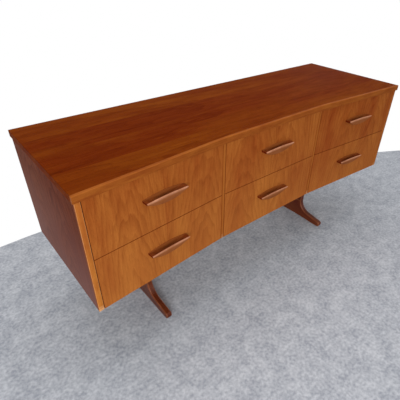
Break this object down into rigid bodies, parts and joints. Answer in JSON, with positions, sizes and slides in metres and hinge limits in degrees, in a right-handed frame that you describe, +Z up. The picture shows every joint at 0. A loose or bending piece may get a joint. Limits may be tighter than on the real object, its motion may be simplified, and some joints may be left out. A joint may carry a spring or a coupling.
{
  "type": "dresser with drawers",
  "caption": "Long low dresser with a slightly inward-bent front in drawer bays two rows high, leaf-shaped wooden pulls and two plank pedestal legs.",
  "frame": {"origin": "on the floor, under the middle of the box that the whole dresser fills, handles included", "axes": "+X along the dresser to the right as seen from in front, +Y from front to back, +Z up; the drawers open towards -Y"},
  "size_m": [1.525, 0.5058, 0.725],
  "materials": {
    "top_teak": "satin",
    "lipping_teak": "satin",
    "edge_teak": "satin",
    "front_teak": "satin",
    "end_teak": "satin",
    "leg_wood": "satin",
    "handle_wood": "satin",
    "drawer_wood": "matte",
    "carcase_board": "matte",
    "plywood": "matte",
    "screw_steel": "satin"
  },
  "bodies": {
    "case": {"top_panel": "top_teak", "top_lipping": "lipping_teak", "left_end_panel": "end_teak", "right_end_panel": "end_teak", "left_divider": "drawer_wood", "right_divider": "drawer_wood", "front_lippings": "edge_teak", "bottom_panel": "carcase_board", "back_panel": "plywood", "drawer_runners": "drawer_wood", "dowels": "drawer_wood", "wood_screws": "screw_steel", "left_leg_foot": "leg_wood", "left_leg_post": "leg_wood", "left_leg_bearer": "leg_wood", "right_leg_foot": "leg_wood", "right_leg_post": "leg_wood", "right_leg_bearer": "leg_wood"},
    "upper_left_drawer": {"upper_left_front": "front_teak", "upper_left_outer_side": "drawer_wood", "upper_left_inner_side": "drawer_wood", "upper_left_back": "drawer_wood", "upper_left_base": "plywood", "upper_left_handle": "handle_wood", "upper_left_handle_screws": "screw_steel"},
    "upper_middle_drawer": {"upper_middle_front": "front_teak", "upper_middle_left_side": "drawer_wood", "upper_middle_right_side": "drawer_wood", "upper_middle_back": "drawer_wood", "upper_middle_base": "plywood", "upper_middle_handle": "handle_wood", "upper_middle_handle_screws": "screw_steel"},
    "upper_right_drawer": {"upper_right_front": "front_teak", "upper_right_inner_side": "drawer_wood", "upper_right_outer_side": "drawer_wood", "upper_right_back": "drawer_wood", "upper_right_base": "plywood", "upper_right_handle": "handle_wood", "upper_right_handle_screws": "screw_steel"},
    "lower_left_drawer": {"lower_left_front": "front_teak", "lower_left_outer_side": "drawer_wood", "lower_left_inner_side": "drawer_wood", "lower_left_back": "drawer_wood", "lower_left_base": "plywood", "lower_left_handle": "handle_wood", "lower_left_handle_screws": "screw_steel"},
    "lower_middle_drawer": {"lower_middle_front": "front_teak", "lower_middle_left_side": "drawer_wood", "lower_middle_right_side": "drawer_wood", "lower_middle_back": "drawer_wood", "lower_middle_base": "plywood", "lower_middle_handle": "handle_wood", "lower_middle_handle_screws": "screw_steel"},
    "lower_right_drawer": {"lower_right_front": "front_teak", "lower_right_inner_side": "drawer_wood", "lower_right_outer_side": "drawer_wood", "lower_right_back": "drawer_wood", "lower_right_base": "plywood", "lower_right_handle": "handle_wood", "lower_right_handle_screws": "screw_steel"}
  },
  "joints": [
    {"name": "upper_left_drawer_slide", "type": "slide", "parent": "case", "child": "upper_left_drawer", "axis": [0, -1, 0], "range_m": [0, 0.3]},
    {"name": "upper_middle_drawer_slide", "type": "slide", "parent": "case", "child": "upper_middle_drawer", "axis": [0, -1, 0], "range_m": [0, 0.3]},
    {"name": "upper_right_drawer_slide", "type": "slide", "parent": "case", "child": "upper_right_drawer", "axis": [0, -1, 0], "range_m": [0, 0.3]},
    {"name": "lower_left_drawer_slide", "type": "slide", "parent": "case", "child": "lower_left_drawer", "axis": [0, -1, 0], "range_m": [0, 0.3]},
    {"name": "lower_middle_drawer_slide", "type": "slide", "parent": "case", "child": "lower_middle_drawer", "axis": [0, -1, 0], "range_m": [0, 0.3]},
    {"name": "lower_right_drawer_slide", "type": "slide", "parent": "case", "child": "lower_right_drawer", "axis": [0, -1, 0], "range_m": [0, 0.3]}
  ]
}
